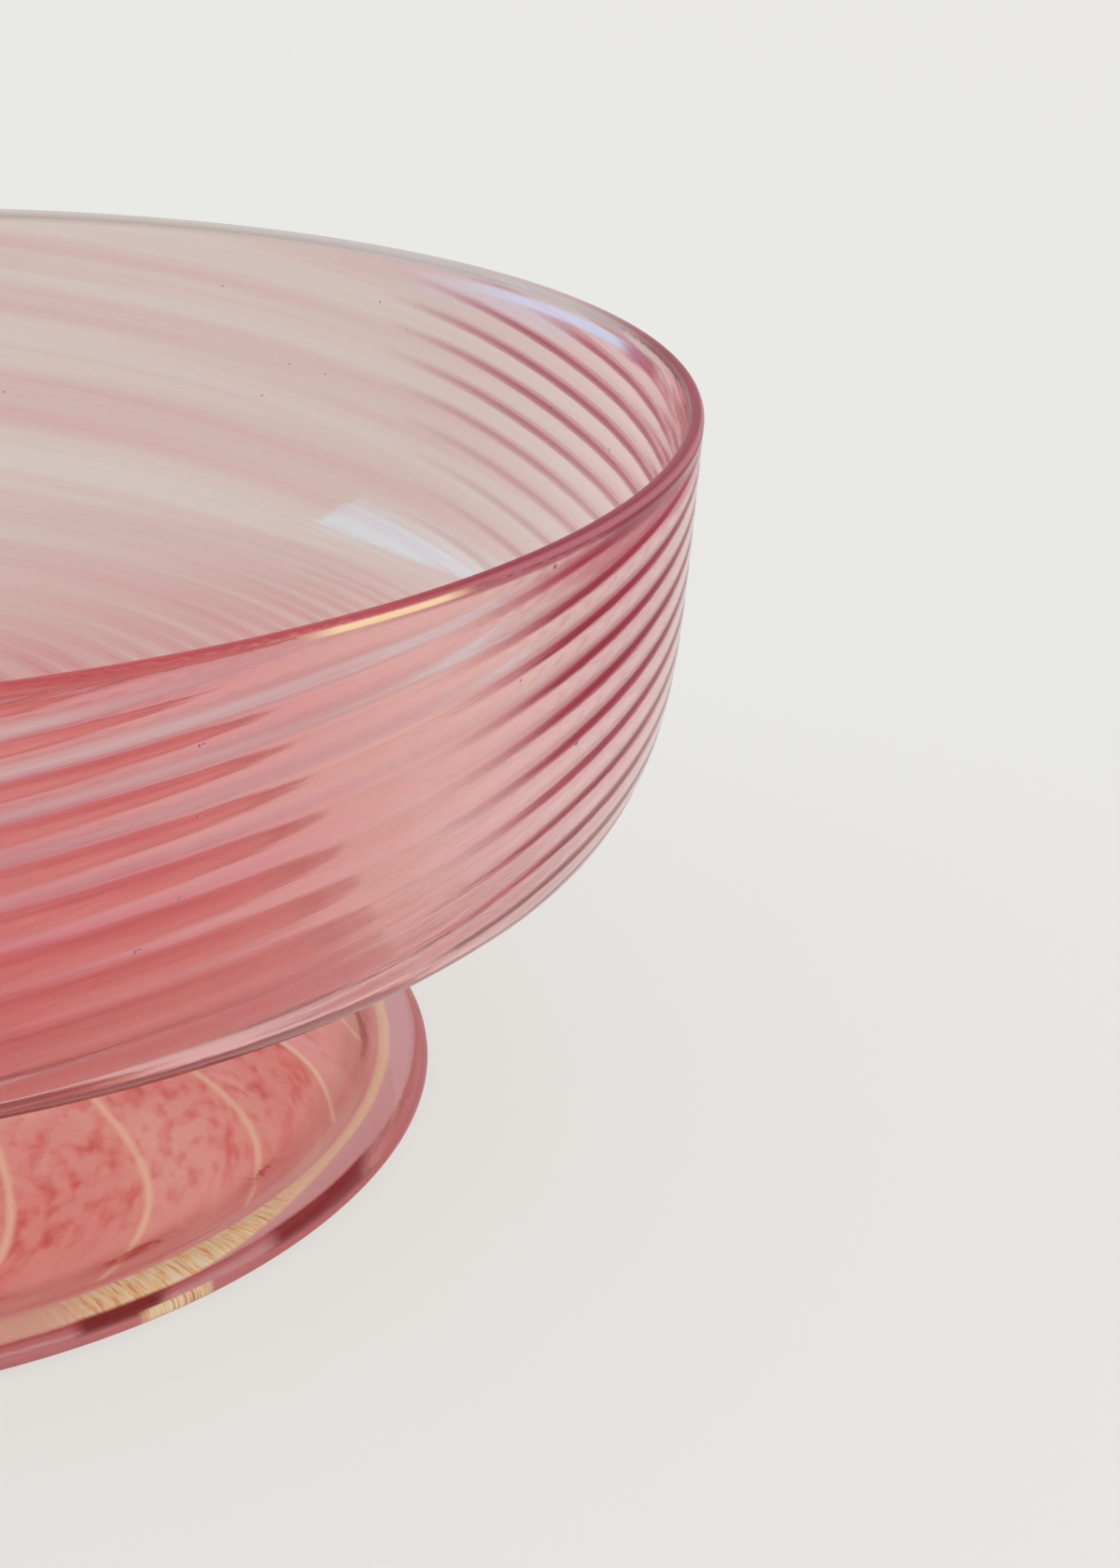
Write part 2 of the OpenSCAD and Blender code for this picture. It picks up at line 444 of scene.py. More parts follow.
def bowlPoints(look):
    # Each face is the profile turned about the axis, and lifted along its normal by the height of the ribs
    # there times their wave. The inside lies a wall's thickness in from the outside, and the lip is half a turn
    # between the two.
    r, z, turn = bowlProfile(look)
    along = distanceAlong(r, z)
    total = along[-1]
    # rings lie closer where the ribs turn faster
    weight = distanceAlong(along / total, turn / look["turnWeight"])
    outSteps = look["stepsUnder"] + look["stepsWall"]
    places = np.interp(np.linspace(0, weight[-1], outSteps), weight, along)
    outR, outZ, outTurn = (np.interp(places, along, line) for line in (r, z, turn))
    outNr, outNz = outwardNormals(outR, outZ)
    outFade = smoothStep(*look["outsideRise"], places / total)
    outFade = outFade * smoothStep(total, total - look["outsideEnd"], places)
    fromBead = (total - along - look["beadBelow"]) / look["beadWidth"]
    thickness = look["floor"] + (look["wall"] - look["floor"]) * smoothStep(*look["thinning"], along / total)
    thickness = thickness + look["bead"] * np.exp(-fromBead ** 2)
    nr, nz = outwardNormals(r, z)
    inPlaces = np.linspace(total, 0, look["stepsInside"])
    inner = (r - nr * thickness, z - nz * thickness, turn)
    inR, inZ, inTurn = (np.interp(inPlaces, along, line) for line in inner)
    inNr, inNz = outwardNormals(inR, inZ)
    inFade = smoothStep(*look["insideRise"], inPlaces / total)
    inFade = inFade * smoothStep(total, total - look["insideEnd"], inPlaces)
    lipR, half = (outR[-1] + inR[0]) / 2, (outR[-1] - inR[0]) / 2
    sweep = np.linspace(0, math.pi, look["stepsLip"] + 2)[1:-1]
    plain = np.zeros(len(sweep))
    rings = {
        "r": (outR, lipR + half * np.cos(sweep), inR),
        "z": (outZ, outZ[-1] + look["lipRadius"] * np.sin(sweep), inZ),
        "turn": (outTurn, plain + outTurn[-1], inTurn),
        "nr": (outNr, plain, inNr),
        "nz": (outNz, plain, inNz),
        "relief": (look["ribOutside"] * outFade, plain, look["ribInside"] * inFade),
        "along": (places, plain + total, inPlaces),
        "outer": (np.ones(outSteps), np.linspace(1, 0, len(sweep)), np.zeros(len(inPlaces))),
    }
    rings = {name: np.concatenate(parts)[:, None] for name, parts in rings.items()}
    column = columnAngles(look)
    angle = rings["turn"] + column

    def around(name):
        return np.interp(angle, look["unevenAt"], look[name], period=360)

    onWall = smoothStep(*look["onWall"], rings["along"] / total)
    below = np.clip((total - rings["along"]) / (look["wallShare"] * total), 0, 1)
    strength = around("strengthShares") * (1 + (around("lowShares") - 1) * below ** look["lowPower"])
    strength = look["strengthBelow"] + (strength - look["strengthBelow"]) * onWall
    drift = around("drift") + below * onWall * around("lowDrift")
    wave = ribWave(column - drift, look["ribCount"], look["ribFullness"])
    lift = rings["relief"] * strength * (wave - 0.5)
    points = placeRings(rings["r"] + lift * rings["nr"], rings["z"] + lift * rings["nz"] + bowlLow.z, angle)
    grids = {
        "unswirled": placeRings(look["paintRadius"], rings["along"], column),
        "ribPhase": wave,
        "outerFace": np.broadcast_to(rings["outer"], angle.shape),
    }
    return points, grids


seedLook = {
    # the ones that the photograph shows, in degrees around and mm up
    "seen": ((-43.5, 43.0), (-40.2, 54.0), (-47.5, 67.1), (-70.8, 59.3), (-74.1, 37.7)),
    "scattered": 60,
    "randomSeed": 7,
    "heights": (26, 64),         # mm up, for the scattered ones
    "sizes": (0.35, 0.8),        # shares of the size of the ones seen
    "halfLength": 0.42 * mm,
    "halfHeight": 0.24 * mm,
    "halfDepth": 0.2 * mm,
    "depth": 1.1 * mm,           # under the outer face of the wall
    "climbShare": 0.12,
    "columns": 8,
    "rings": 5,
}


def ballFaces(columns, rings):
    # rows of four-sided faces between the rings, and a fan at each pole, whose points come after the rings
    faces = []
    top = (rings - 1) * columns
    for c in range(columns):
        after = (c + 1) % columns
        for ring in range(rings - 1):
            a, b = ring * columns + c, ring * columns + after
            faces.append((a, a + columns, b + columns, b))
        faces.append((rings * columns, c, after, after))
        faces.append((rings * columns + 1, top + after, top + c, top + c))
    return np.array(faces)


def seedForms(look, wall):
    # Each seed is a bubble: an ellipsoid along the ribs, with its faces turned inward, away from the glass.
    rng = np.random.default_rng(look["randomSeed"])
    count = look["scattered"]
    around = np.concatenate([[a for a, _ in look["seen"]], rng.uniform(-180, 180, count)])
    up = np.concatenate([[h * mm for _, h in look["seen"]], rng.uniform(*look["heights"], count) * mm])
    size = np.concatenate([np.ones(len(look["seen"])), rng.uniform(*look["sizes"], count)])
    r, z, _ = bowlProfile(wall)
    middle = np.interp(up, z, r) - look["depth"]
    turn = np.radians(around)
    outward = np.stack([np.cos(turn), np.sin(turn), np.zeros(len(turn))], axis=-1)
    onward = np.stack([-np.sin(turn), np.cos(turn), np.full(len(turn), look["climbShare"])], axis=-1)
    upright = np.cross(outward, onward)
    centre = outward * middle[:, None] + np.stack([turn * 0, turn * 0, up + bowlLow.z], axis=-1)
    latitude = np.linspace(-90, 90, look["rings"] + 2)[1:-1, None]
    ball = placeRings(np.cos(np.radians(latitude)), np.sin(np.radians(latitude)), columnAngles(look))
    ball = np.concatenate([ball.reshape(-1, 3), [[0, 0, -1], [0, 0, 1]]])
    axes = (onward * look["halfLength"], outward * look["halfDepth"], upright * look["halfHeight"])
    offsets = np.einsum("vk,skx->svx", ball, np.stack(axes, axis=1))
    vertices = centre[:, None, :] + offsets * size[:, None, None]
    firstPoints = np.arange(len(size)) * len(ball)
    faces = ballFaces(look["columns"], look["rings"]) + firstPoints[:, None, None]
    return vertices.reshape(-1, 3), faces.reshape(-1, 4)


points, grids = bowlPoints(bowlLook)
bowlPiece = closedMesh("bowlGlass", points, seedForms(seedLook, bowlLook))
nameValues(bowlPiece, grids)
print("bowl built:", len(bowlPiece.data.vertices), "vertices")


# Foot

footLook = {
    "columns": 300,
    "ribCount": 20,
    "ribStart": 16.6,           # degrees at the seat
    "turn": 17,                 # degrees from the seat to the hem
    "hemTurn": 11,              # degrees more, just inside the hem
    "hemTurnPower": 9,
    "foldTurn": 14,             # degrees more, over the inner slope of the hem
    "seatRadius": 21 * mm,
    "topPower": 1.1,
    "web": 3.0 * mm,
    "core": 7.0 * mm,
    "hemWidth": 10.8 * mm,
    "hemThickness": 3.8 * mm,
    "join": math.radians(150),  # how far around the hem's oval the web starts
    "foldStart": math.radians(60),
    "outerStart": (-0.8, -0.3),   # radians around the hem where the outer face begins
    "rib": 0.5 * mm,
    "ribSharpness": 2.0,
    "ribSeatFade": 0.12,        # shares of the way out, where the ribs reach their height and leave it
    "ribHemFade": 0.9,
    "pontilRadius": 11 * mm,
    "pontilDepth": 0.8 * mm,
    "pontilStart": 0.02,        # the first ring's share of the pontil's radius
    "samples": (300, 200, 200, 30),   # along the web's top, the hem, the underside and the pontil mark
    "evenSamples": 1600,
    "softening": 12,
    "stepsWeb": 90,
    "stepsHem": 60,
    "stepsUnder": 50,
}


def footPoints(look):
    # The hem is a flat oval. The top rises from it to the seat with the 1.1st power of its share of the way in,
    # and the underside follows it at the web's thickness, which grows to the core's. The pontil mark is a dish,
    # as deep as one less the square of its share of the way out. The ribs lift the top along its normal.
    edge, top = footHigh.x, footHigh.z
    join, halfWidth, halfThickness = look["join"], look["hemWidth"] / 2, look["hemThickness"] / 2
    webSteps, hemSteps, underSteps, dishSteps = look["samples"]
    joinR = edge - halfWidth + halfWidth * math.cos(join)
    joinZ = halfThickness + halfThickness * math.sin(join)
    t = np.linspace(1, 0, webSteps)
    webR = look["seatRadius"] + (joinR - look["seatRadius"]) * t
    webZ = joinZ + (top - joinZ) * (1 - t) ** look["topPower"]
    webTurn = look["ribStart"] - look["turn"] * t - look["hemTurn"] * t ** look["hemTurnPower"]
    webRelief = look["rib"] * smoothStep(0, look["ribSeatFade"], t) * smoothStep(1, look["ribHemFade"], t)
    sweep = np.linspace(-join, join, hemSteps)
    hemR = edge - halfWidth + halfWidth * np.cos(sweep)
    hemZ = np.maximum(halfThickness + halfThickness * np.sin(sweep), 0)
    onTop = smoothStep(look["foldStart"], join, sweep)
    hemTurn = webTurn[0] - look["foldTurn"] * (1 - onTop)
    s = np.linspace(0, 1, underSteps)[:-1]
    underR = look["pontilRadius"] + (joinR - look["pontilRadius"]) * s
    underZ = joinZ + (top - joinZ) * (1 - s) ** look["topPower"] - look["web"]
    underZ = np.maximum(underZ - (look["core"] - look["web"]) * (1 - s) ** 2, hemZ[0])
    dish = np.linspace(look["pontilStart"], 1, dishSteps)[:-1]
    dishZ = top - look["core"] + look["pontilDepth"] * (1 - dish ** 2)
    below, web = np.zeros(len(dish) + len(s)), np.ones(len(t))
    parts = (
        (look["pontilRadius"] * dish, underR, hemR, webR),
        (dishZ, underZ, hemZ, webZ),
        (below + hemTurn[0], hemTurn, webTurn),
        (below, np.zeros(len(sweep)), webRelief),
        (below, onTop, web),
        (below, smoothStep(*look["outerStart"], sweep), web),
    )
    lines = evenSteps(look["evenSamples"], *(np.concatenate(part) for part in parts))
    r, z, turn, relief = (soften(line, look["softening"]) for line in lines[:4])
    total = look["stepsWeb"] + look["stepsHem"] + look["stepsUnder"]
    lines = evenSteps(total, r, np.maximum(z, 0), turn, relief, *lines[4:])
    nr, nz = outwardNormals(*lines[:2])
    nr, nz = nr[:, None], nz[:, None]
    r, z, turn, relief, onTop, outside = (line[:, None] for line in lines)
    column = columnAngles(look)
    wave = ribWave(column, look["ribCount"], look["ribSharpness"])
    lift = relief * wave
    points = placeRings(r + lift * nr, z + lift * nz, turn + column)
    grids = {
        "unswirled": placeRings(r, z, column),
        "ribPhase": onTop * wave,
        "topFace": np.broadcast_to(outside, lift.shape),
    }
    return points, grids


points, grids = footPoints(footLook)
footPiece = closedMesh("footGlass", points)
nameValues(footPiece, grids)
print("foot built:", len(footPiece.data.vertices), "vertices")


# Button

buttonLook = {
    "columns": 160,
    "seatRadius": 18 * mm,
    "sink": 0.05 * mm,      # how far it reaches into the bowl and the foot
    "edgeSteps": 60,
    "flatSteps": 11,
    "firstShare": 0.1,      # the first ring's share of the seat's radius
}


def buttonPoints(look):
    # Between its flat faces the edge swells out by half a circle, whose radius is half the height.
    low, high = buttonLow.z - look["sink"], buttonHigh.z + look["sink"]
    sweep = np.linspace(-math.pi / 2, math.pi / 2, look["edgeSteps"])
    edgeR = look["seatRadius"] + (high - low) / 2 * np.cos(sweep)
    edgeZ = (low + high) / 2 + (high - low) / 2 * np.sin(sweep)
    flat = np.linspace(look["firstShare"], 1, look["flatSteps"] + 1)[:-1] * look["seatRadius"]
    r = np.concatenate([flat, edgeR, flat[::-1]])
    z = np.concatenate([np.full(len(flat), low), edgeZ, np.full(len(flat), high)])
    return placeRings(r[:, None], z[:, None], columnAngles(look))


buttonPiece = closedMesh("buttonGlass", buttonPoints(buttonLook))
print("button built")


# Glass

glassLook = {
    "index": 1.46,
    "coatRoughness": 0.15,
}


def finishGlass(s, colour, roughness, bump, paint, coats=()):
    # each coat has a share, a colour and how metallic it is, and lies over the glass and the coats before it
    inputs = {"Base Color": colour, "Roughness": roughness, "IOR": glassLook["index"],
              "Transmission Weight": 1.0}
    if bump is not None:
        inputs["Normal"] = bump
    surface = s.node("ShaderNodeBsdfPrincipled", {}, inputs)
    for share, tint, metallic in coats:
        inputs = {"Base Color": tint, "Roughness": glassLook["coatRoughness"], "Metallic": metallic,
                  "Specular IOR Level": 0.0}
        coated = s.node("ShaderNodeBsdfPrincipled", {}, inputs)
        surface = s.node("ShaderNodeMixShader", {}, {0: share, 1: surface, 2: coated})
    inputs = {"Color": paint["absorb"], "Density": paint["density"]}
    volume = s.node("ShaderNodeVolumeAbsorption", {}, inputs)
    s.node("ShaderNodeOutputMaterial", {}, {"Surface": surface, "Volume": volume})


def placesOn(s):
    # metres across (+X), depthways (+Y), up and from the axis, and how far up a rib the point lies
    real = s.ownPlace()
    return {"across": real.axis(0), "depthways": real.axis(1), "height": real.axis(2),
            "radius": real.stretch((1, 1, 0)).length(), "phase": s.attribute("ribPhase", "Fac")}


def makeZones(values, spans):
    # a zone is 1 where each of its values lies within the edges given for it, and 0 outside
    zones = {}
    for name, edges in spans.items():
        masks = [values[value].within(limits) for value, limits in edges.items()]
        zones[name] = math.prod(masks[1:], start=masks[0])
    return zones


def addLayers(s, place, layers):
    # the sum of some layers of noise
    parts = [s.noise(place.stretch(scale), 1.0, detail, roughness).within(edges) * share
             for scale, detail, roughness, edges, share in layers]
    return sum(parts[1:], start=parts[0])


# edges that several zones share, in metres
inFront = (-0.01, -0.035)        # along Y, where the wall starts to count as the near one
onNearSide = (0.07, -0.02)       # the same, with a wide soft edge
farRight = (0.09, 0.11)          # along X
outermost = (0.1237, 0.1242)     # from the axis, the outer half of the lip
onLeft = {"across": (0.06, 0.03), "depthways": inFront, "height": (0.062, 0.095, 0.008)}

bowlPaint = {
    # noise that shifts the colour: its scale along x, y and z, detail, roughness, edges and share
    "layers": (
        ((14, 14, 22), 3.0, 0.5, (0.3, 0.7), 0.62),
        ((60, 60, 40), 4.0, 0.6, (0.35, 0.7), 0.28),
        ((260, 260, 60), 3.0, 0.5, (0.3, 0.75), 0.1),
    ),
    "deep": ((0.0, rgb(252, 250, 249)), (0.5, rgb(246, 235, 242)), (1.0, rgb(243, 197, 215))),
    "pale": ((0.0, rgb(253, 255, 253)), (0.6, rgb(250, 251, 249)), (1.0, rgb(248, 240, 241))),
    "smoky": ((0.15, rgb(230, 234, 228)), (0.45, rgb(228, 222, 215)), (0.8, rgb(228, 206, 206))),
    "raggedNoise": (90, 90, 60),     # frays the dark lines in front
    "raggedShare": 0.3,
    "lowLines": 0.35,                # how much of a dark line is there low on the wall
    "highFurrows": 0.64,             # and how much more above
    "highCrests": 0.65,
    "waveNoise": (400, 400, 120),
    "waveStrength": 0.03,
    "cloudNoise": (40, 40, 20),      # breaks up the lustre and the painted highlights on the far rim
    "cloudEdges": (0.3, 0.6),
    "lineFade": 0.4,                 # how much weaker the dark lines' coat is at the far right
    "lipEdge": rgb(158, 46, 68),     # crimson at both edges on the right, with a lighter middle
    "lipMiddle": rgb(208, 128, 138),
    "lipTop": rgb(168, 70, 88),
    "lipLeft": rgb(202, 96, 102),    # and red on the left
    "roughness": 0.02,
    "haze": 0.08,
    "absorb": (0.985, 0.3, 0.34, 1),
    "density": 120,
}
bowlSpans = {
    "paleSide": {"across": (0.035, 0.078)},
    "far": {"depthways": onNearSide[::-1]},
    # dark rose lines, in the furrows in front and on the crests behind, that grow towards the right and upwards
    "furrow": {"ragged": (0.72, 0.25), "across": (0.066, 0.094), "depthways": inFront},
    "crest": {"phase": (0.8, 1.0), "across": (0.1, 0.12), "depthways": inFront[::-1]},
    "highFurrow": {"height": (0.055, 0.085)},
    "highCrest": {"height": (0.066, 0.085)},
    # twice as many fine lines on the floor, where the ribs of both faces show
    "floorLine": {"twice": (0.5, 0.05), "height": (0.05, 0.045), "depthways": (0.095, 0.04)},
    # painted highlights on the crests, deeper furrows and deeper rose on the left, and a paler underside
    "leftCrest": {"phase": (0.5, 0.9), **onLeft},
    "leftFurrow": {"phase": (0.5, 0.1), **onLeft},
    "lowRose": {"across": (0.045, -0.01), "height": (0.062, 0.08, 0.012), "depthways": onNearSide},
    "underside": {"height": (0.06, 0.042), "depthways": onNearSide},
    "duskyLip": {"height": (0.098, 0.0998), "depthways": onNearSide},
    # where the coats lie
    "mauveCorner": {"across": (0.02, -0.03), "height": (0.045, 0.066, 0.01), "depthways": onNearSide},
    # painted highlights along the far rim, blue and pale
    "blueRim": {"height": (0.0973, 0.0981, 0.0007), "depthways": (0.012, 0.04, 0.022), "across": farRight},
    "paleRim": {"height": (0.0945, 0.0975, 0.0015), "depthways": (0.034, 0.06, 0.015), "across": farRight},
    "crimsonSpot": {"height": (0.0968, 0.098, 0.001), "depthways": (-0.003, 0.003, 0.009), "across": farRight},
    "paleLip": {"height": (0.0985, 0.099), "depthways": (-0.01, 0.03)},
    "smear": {"height": (0.0955, 0.0975, 0.0015), "across": (0.092, 0.106, 0.014), "depthways": inFront},
    "lineEnd": {"across": (0.098, 0.118)},
    "belowLip": {"height": (0.0985, 0.0965)},
    "belowFarLip": {"height": (0.097, 0.094)},
    "nearLip": {"radius": outermost, "depthways": onNearSide},
    "onRight": {"across": (0.05, 0.08)},
    "lipOnRight": {"height": (0.0985, 0.099)},
    "lipOnLeft": {"height": (0.0997, 0.1)},
    "lipMiddle": {"height": (0.0993, 0.0997)},
    "lipTop": {"height": (0.1, 0.1003)},
    "glint": {"height": (0.0993, 0.0997, 0.0003), "radius": outermost, "depthways": onNearSide,
              "across": (0.057, 0.068, 0.006)},
    "hazy": {"across": (0.012, 0.05, 0.02), "depthways": inFront, "height": (0.05, 0.09, 0.007)},
}
bowlMarks = {
    # each mark's share and colour; a mark lies over those before it
    "furrow": (1.0, rgb(196, 92, 112)),
    "crest": (0.95, rgb(200, 116, 138)),
    # painted highlights on the crests at the left
    "leftCrest": (0.7, rgb(255, 248, 250)),
    "leftFurrow": (0.5, rgb(238, 176, 200)),
    "lowRose": (0.8, rgb(238, 186, 206)),
    "underside": (0.95, rgb(255, 242, 230)),
    "duskyLip": (0.35, rgb(176, 122, 132)),
}
bowlFloorLine = (0.9, rgb(216, 152, 158))
bowlCoats = {
    # each coat's share, colour and how metallic it is; a coat lies over those before it
    "mauveCorner": (0.2, rgb(214, 150, 220), 1.0),
    # painted highlights along the far rim
    "blueRim": (0.95, rgb(240, 238, 255), 0.0),
    "paleRim": (0.4, rgb(248, 240, 252), 0.0),
    "crimsonSpot": (0.6, rgb(190, 50, 88), 0.0),
    "paleLip": (0.7, rgb(228, 216, 208), 0.0),
    "smear": (0.5, rgb(190, 78, 98), 0.0),
    "nearLine": (0.8, rgb(165, 44, 68), 0.0),
    "farLine": (0.42, rgb(160, 50, 80), 0.0),
    "lip": (0.65, None, 0.0),        # its colour changes with the height
    "glint": (1.0, rgb(255, 218, 176), 0.0),
}


def bowlGlassMaterial(paint):
    material, s = newMaterial("streakedRoseGlass")
    place = s.attribute("unswirled", "Vector")
    values = placesOn(s)
    ragged = s.noise(place.stretch(paint["raggedNoise"]), 1.0, 3.0)
    values["ragged"] = values["phase"] + ragged * paint["raggedShare"]
    values["twice"] = (values["phase"] * 2 - 1) ** 2
    zone = makeZones(values, bowlSpans)
    furrow = zone["furrow"] * (paint["lowLines"] + zone["highFurrow"] * paint["highFurrows"])
    crest = zone["crest"] * (paint["lowLines"] + zone["highCrest"] * paint["highCrests"])
    depth = addLayers(s, place, paint["layers"])
    near = s.mix(zone["paleSide"], depth.colours(paint["deep"]), depth.colours(paint["pale"]))
    share, tint = bowlFloorLine
    smoky = s.mix(zone["floorLine"] * share, depth.colours(paint["smoky"]), tint)
    colour = s.mix(zone["far"], near, smoky)
    masks = {**zone, "furrow": furrow, "crest": crest}
    for name, (share, tint) in bowlMarks.items():
        colour = s.mix(masks[name] * share, colour, tint)
    waves = s.noise(place.stretch(paint["waveNoise"]), 1.0, 2.0)
    # a mauve lustre low on the left, painted blue and pale highlights on the far rim, and stains, each on one
    # face of the wall
    outerFace = s.attribute("outerFace", "Fac")
    innerFace = 1 - outerFace
    cloud = s.noise(place.stretch(paint["cloudNoise"]), 1.0, 2.0).within(paint["cloudEdges"])
    masks["mauveCorner"] = cloud * zone["mauveCorner"] * outerFace
    for name in ("blueRim", "paleRim"):
        masks[name] = cloud * zone[name] * innerFace
    masks["crimsonSpot"] = zone["crimsonSpot"] * innerFace
    masks["smear"] = zone["smear"] * outerFace
    masks["nearLine"] = outerFace * furrow * (1 - zone["lineEnd"] * paint["lineFade"]) * zone["belowLip"]
    masks["farLine"] = innerFace * crest * zone["belowFarLip"]
    lip = zone["lipOnRight"] * zone["onRight"] + zone["lipOnLeft"] * (1 - zone["onRight"])
    masks["lip"] = lip * zone["nearLip"]
    lipTint = s.mix(zone["lipMiddle"], paint["lipEdge"], paint["lipMiddle"])
    lipTint = s.mix(zone["lipTop"], lipTint, paint["lipTop"])
    lipTint = s.mix(zone["onRight"], paint["lipLeft"], lipTint)
    coats = [(masks[name] * share, tint or lipTint, metallic)
             for name, (share, tint, metallic) in bowlCoats.items()]
    roughness = zone["hazy"] * paint["haze"] + paint["roughness"]
    finishGlass(s, colour, roughness, s.bump(waves, paint["waveStrength"]), paint, coats)
    return material


footPaint = {
    "broadNoise": 40.0,
    "broadEdges": (0.3, 0.7),
    "broadShare": 0.35,
    "fleckStretch": (1, 1, 0.4),
    "fleckNoise": (340.0, 1.8),      # scale and detail
    "fleckEdges": (0.4, 0.84),
    "fleckShare": 0.65,
    "fleckFade": 0.8,                # how far the flecks fade towards the hem
    "salmon": ((0.0, rgb(250, 188, 176)), (0.4, rgb(242, 152, 147)), (1.0, rgb(224, 80, 92))),
    "inside": rgb(252, 244, 242),    # the clearer glass under the coloured face
    "fleckBump": 0.04,
    # a crackled gold band, partly lustre and partly painted highlight, lies where the fold begins; the
    # highlight is brightest in front, and the band narrows towards the right
    "crackleNoise": (120, 180),      # scale around and outwards
    "crackleEdges": (0.32, 0.42),
    "crackleGlint": (0.34, 0.5),
    "narrowEdges": (0.042, 0.07),
    "narrowing": 3.2 * mm,
    "gold": ((0.34, rgb(232, 170, 124)), (0.44, rgb(252, 218, 156)), (0.6, rgb(255, 252, 218))),
    "goldLeft": rgb(238, 190, 168),
    "goldRight": rgb(255, 222, 188),
    "goldShine": (0.45, 0.5),        # the coat's share everywhere, and how much more in front, where the highlight is painted
    "crackleShine": (0.55, 0.45),    # the same in the cracks and beside them
    "goldMetallic": 0.1,
    "creaseRose": rgb(214, 140, 132),
    "creasePeach": rgb(238, 182, 150),
    "peachShare": 0.8,
    "hemLeft": rgb(222, 152, 154),
    "hemRight": rgb(220, 134, 136),
    "creaseShare": 0.4,
    "outerShare": 0.6,
    "glintShare": 0.8,
    "roughness": 0.03,
    "absorb": (0.9, 0.24, 0.24, 1),
    "density": 14,
}
footSpans = {
    "fleckEnd": {"radius": (0.07, 0.078)},
    "seat": {"radius": (0.056, 0.04)},
    # painted highlights along the rib crests
    "crest": {"phase": (0.92, 1.0), "radius": (0.03, 0.045, 0.081, 0.083)},
    "hem": {"radius": (0.081, 0.083)},
    "gold": {"radius": (0.0818, 0.0826), "narrowed": (0.0872, 0.0864), "height": (0.0015, 0.0022)},
    # where the painted highlight on the gold band lies, in front
    "goldHighlight": {"across": (0.035, 0.052, 0.013)},
    "rightGold": {"across": (0.04, 0.05)},
    "rim": {"radius": (0.0875, 0.0885)},
    "rimSide": {"radius": (0.087, 0.0886, 0.0006), "height": (0.0012, 0.0018)},
    # painted dark red reflections on the outer edge, left and right
    "redReflectionLeft": {"across": (0.03, 0.0385, 0.003)},
    "redReflectionRight": {"across": (0.057, 0.069, 0.004)},
    # painted gold glints on the outer edge
    "rimGlint": {"radius": (0.0885, 0.0888), "across": (0.038, 0.045, 0.002)},
    "crease": {"radius": (0.0785, 0.0808, 0.003)},
    "outer": {"radius": (0.0865, 0.0885)},
    "rightHem": {"across": (0.045, 0.065)},
}
footMarks = {
    # each mark's share and colour; a mark lies over those before it
    "seat": (0.7, rgb(254, 236, 228)),
    # painted highlights on the crests
    "crest": (0.85, rgb(255, 214, 186)),
    "hem": (1.0, rgb(226, 169, 176)),    # smooth and mauve
    "gold": (0.9, None),                 # its colour changes around the foot
    "rim": (1.0, rgb(246, 214, 214)),
    "red": (0.95, rgb(164, 40, 48)),     # painted dark red reflections and gold glints on the outer edge
    "glint": (1.0, rgb(255, 240, 205)),
}


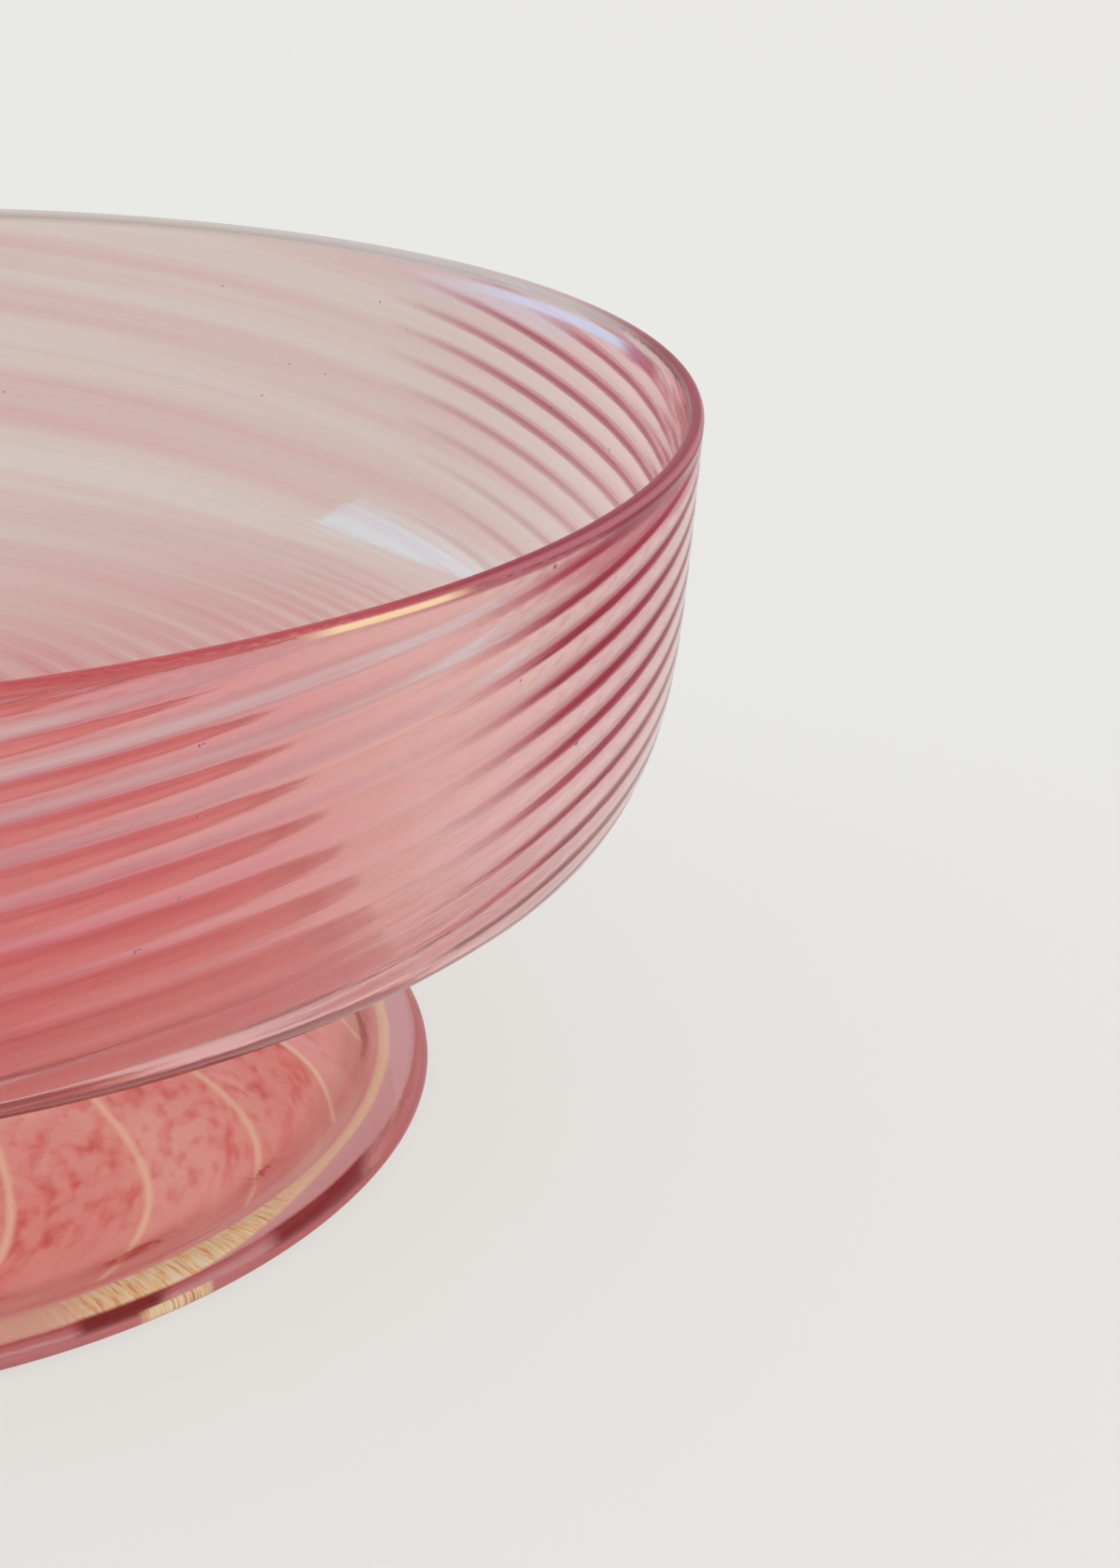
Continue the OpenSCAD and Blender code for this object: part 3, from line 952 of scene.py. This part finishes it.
def footGlassMaterial(paint):
    material, s = newMaterial("fleckedSalmonGlass")
    place = s.attribute("unswirled", "Vector")
    values = placesOn(s)
    narrow = values["across"].within(paint["narrowEdges"])
    values["narrowed"] = values["radius"] + narrow * paint["narrowing"]
    zone = makeZones(values, footSpans)
    broad = s.noise(place, paint["broadNoise"], 3.0).within(paint["broadEdges"])
    flecks = s.noise(place.stretch(paint["fleckStretch"]), *paint["fleckNoise"]).within(paint["fleckEdges"])
    flecks = flecks * (1 - zone["fleckEnd"] * paint["fleckFade"])
    depth = broad * paint["broadShare"] + flecks * paint["fleckShare"]
    angle = s.maths("ARCTAN2", values["depthways"], values["across"])
    around, outwards = paint["crackleNoise"]
    spread = s.node("ShaderNodeCombineXYZ", {}, {0: angle * around, 1: values["radius"] * outwards, 2: 0.0})
    crackle = s.noise(spread, 1.0, 3.0, 0.6, 0.3)
    plainGold = s.mix(zone["rightGold"], paint["goldLeft"], paint["goldRight"])
    gold = s.mix(zone["goldHighlight"], plainGold, crackle.colours(paint["gold"]))
    # painted dark red reflections on the outer edge
    red = zone["rimSide"] * (zone["redReflectionLeft"] + zone["redReflectionRight"])
    # painted gold glints, broken by the crackle
    glint = zone["rimGlint"] * crackle.within(paint["crackleGlint"])
    masks = {**zone, "red": red, "glint": glint}
    colour = depth.colours(paint["salmon"])
    for name, (share, tint) in footMarks.items():
        colour = s.mix(masks[name] * share, colour, tint or gold)
    # the colour lies on the outer face, over clearer glass, so it counts twice there
    topFace = s.attribute("topFace", "Fac")
    colour = s.mix(topFace, paint["inside"], s.mix(1.0, colour, colour, "MULTIPLY"))
    shineAll, shineFront = paint["goldShine"]
    inCracks, between = paint["crackleShine"]
    shine = zone["gold"] * (zone["goldHighlight"] * shineFront + shineAll)
    shine = shine * (inCracks + crackle.within(paint["crackleEdges"]) * between)
    # the crease is peach where the painted crest highlights reach it
    peach = s.mix(zone["crest"] * paint["peachShare"], paint["creaseRose"], paint["creasePeach"])
    hemRose = s.mix(zone["rightHem"], paint["hemLeft"], paint["hemRight"])
    outer = zone["outer"] * (1 - red) * topFace
    coats = ((zone["crease"] * topFace * paint["creaseShare"], peach, 0.0),
             (outer * paint["outerShare"], hemRose, 0.0),
             (shine, gold, paint["goldMetallic"]),
             (glint * paint["glintShare"], gold, 0.0))
    finishGlass(s, colour, paint["roughness"], s.bump(flecks, paint["fleckBump"]), paint, coats)
    return material


buttonPaint = {
    "cordNoise": (90, 90, 300),
    "pink": ((0.3, rgb(252, 236, 230)), (0.7, rgb(244, 205, 200))),
    "roughness": 0.02,
    "absorb": (0.97, 0.3, 0.2, 1),
    "density": 50,
}


def buttonGlassMaterial(paint):
    material, s = newMaterial("clearPinkGlass")
    cords = s.noise(s.ownPlace().stretch(paint["cordNoise"]), 1.0, 3.0)
    finishGlass(s, cords.colours(paint["pink"]), paint["roughness"], None, paint)
    return material


bowlPiece.data.materials.append(bowlGlassMaterial(bowlPaint))
footPiece.data.materials.append(footGlassMaterial(footPaint))
buttonPiece.data.materials.append(buttonGlassMaterial(buttonPaint))
for piece, node in ((bowlPiece, "bowl"), (footPiece, "foot"), (buttonPiece, "button")):
    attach(piece, "root")
    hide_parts(node)
print("glass finished")

lightBounces = 64        # light passes many faces of glass
scene = bpy.context.scene
scene.view_settings.view_transform = "Standard"
scene.cycles.max_bounces = lightBounces
scene.cycles.transmission_bounces = lightBounces
scene.cycles.glossy_bounces = lightBounces
